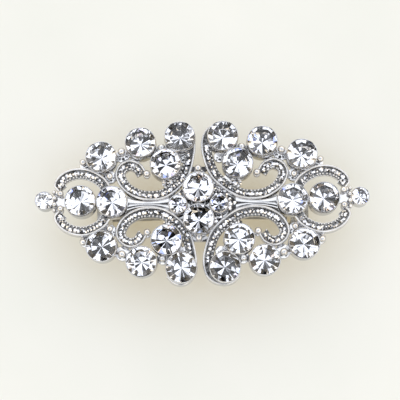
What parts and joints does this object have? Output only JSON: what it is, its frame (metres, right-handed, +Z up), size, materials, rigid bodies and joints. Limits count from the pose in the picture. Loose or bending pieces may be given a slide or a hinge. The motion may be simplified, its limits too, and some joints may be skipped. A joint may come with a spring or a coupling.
{
  "type": "rhinestone hair clip",
  "caption": "Openwork hair clip: mirrored pave scrolls and round crystals in a silver casting on a French barrette back with a hinged clasp.",
  "frame": {"origin": "centre of the resting plane, under the closed clasp", "axes": "+X along the clip to the latch end, +Y across it, +Z up out of the stones' faces"},
  "size_m": [0.076, 0.0378, 0.0172],
  "materials": {
    "rhodium_casting": "polished rhodium plate",
    "foiled_crystal": "clear cut glass over silver foil",
    "pave_chips": "small clear chips in a bright channel",
    "nickel_plate": "stamped nickel-plated steel",
    "nickel_fittings": "turned nickel-plated pins and rivets",
    "spring_steel": "bright spring strip"
  },
  "bodies": {
    "ornament_and_plate": {"filigree_casting": "rhodium_casting", "centre_cluster_setting": "rhodium_casting", "stone_ring_left": "foiled_crystal", "stone_junction_left": "foiled_crystal", "stone_end_left": "foiled_crystal", "stone_edge_outer_upper_left": "foiled_crystal", "stone_edge_middle_upper_left": "foiled_crystal", "stone_edge_inner_upper_left": "foiled_crystal", "stone_scroll_upper_left": "foiled_crystal", "stone_edge_outer_lower_left": "foiled_crystal", "stone_edge_middle_lower_left": "foiled_crystal", "stone_edge_inner_lower_left": "foiled_crystal", "stone_scroll_lower_left": "foiled_crystal", "stone_ring_right": "foiled_crystal", "stone_junction_right": "foiled_crystal", "stone_end_right": "foiled_crystal", "stone_edge_outer_upper_right": "foiled_crystal", "stone_edge_middle_upper_right": "foiled_crystal", "stone_edge_inner_upper_right": "foiled_crystal", "stone_scroll_upper_right": "foiled_crystal", "stone_edge_outer_lower_right": "foiled_crystal", "stone_edge_middle_lower_right": "foiled_crystal", "stone_edge_inner_lower_right": "foiled_crystal", "stone_scroll_lower_right": "foiled_crystal", "stone_centre_upper": "foiled_crystal", "stone_centre_lower": "foiled_crystal", "stone_centre_left": "foiled_crystal", "stone_centre_right": "foiled_crystal", "pave_scroll_upper_left": "pave_chips", "pave_scroll_upper_right": "pave_chips", "pave_scroll_lower_left": "pave_chips", "pave_scroll_lower_right": "pave_chips", "pave_ring_upper_left": "pave_chips", "pave_ring_upper_right": "pave_chips", "pave_ring_lower_left": "pave_chips", "pave_ring_lower_right": "pave_chips", "plate_rivet_left": "nickel_fittings", "plate_rivet_right": "nickel_fittings", "barrette_plate": "nickel_plate", "hinge_pin": "nickel_fittings", "tension_anchor_pin": "nickel_fittings"},
    "clasp": {"clasp_arm": "nickel_plate"},
    "tension_leaf": {"tension_bar": "spring_steel"},
    "prong_upper": {"latch_prong_upper": "spring_steel"},
    "prong_lower": {"latch_prong_lower": "spring_steel"}
  },
  "joints": [
    {"name": "clasp_hinge", "type": "hinge", "parent": "ornament_and_plate", "child": "clasp", "pos_m": [-0.0223, 0, 0.0016], "axis": [0, 1, 0], "range_deg": [0, 75]},
    {"name": "tension_flex", "type": "hinge", "parent": "ornament_and_plate", "child": "tension_leaf", "pos_m": [-0.0217, 0, 0.00795], "axis": [0, -1, 0], "range_deg": [0, 2.2], "stiffness_Nm_per_rad": 0.3},
    {"name": "prong_upper_squeeze", "type": "hinge", "parent": "ornament_and_plate", "child": "prong_upper", "pos_m": [0.0212, 0.00175, 0.0088], "axis": [-1, 0, 0], "range_deg": [0, 8], "stiffness_Nm_per_rad": 0.086},
    {"name": "prong_lower_squeeze", "type": "hinge", "parent": "ornament_and_plate", "child": "prong_lower", "pos_m": [0.0212, -0.00175, 0.0088], "axis": [1, 0, 0], "range_deg": [0, 8], "stiffness_Nm_per_rad": 0.086}
  ]
}
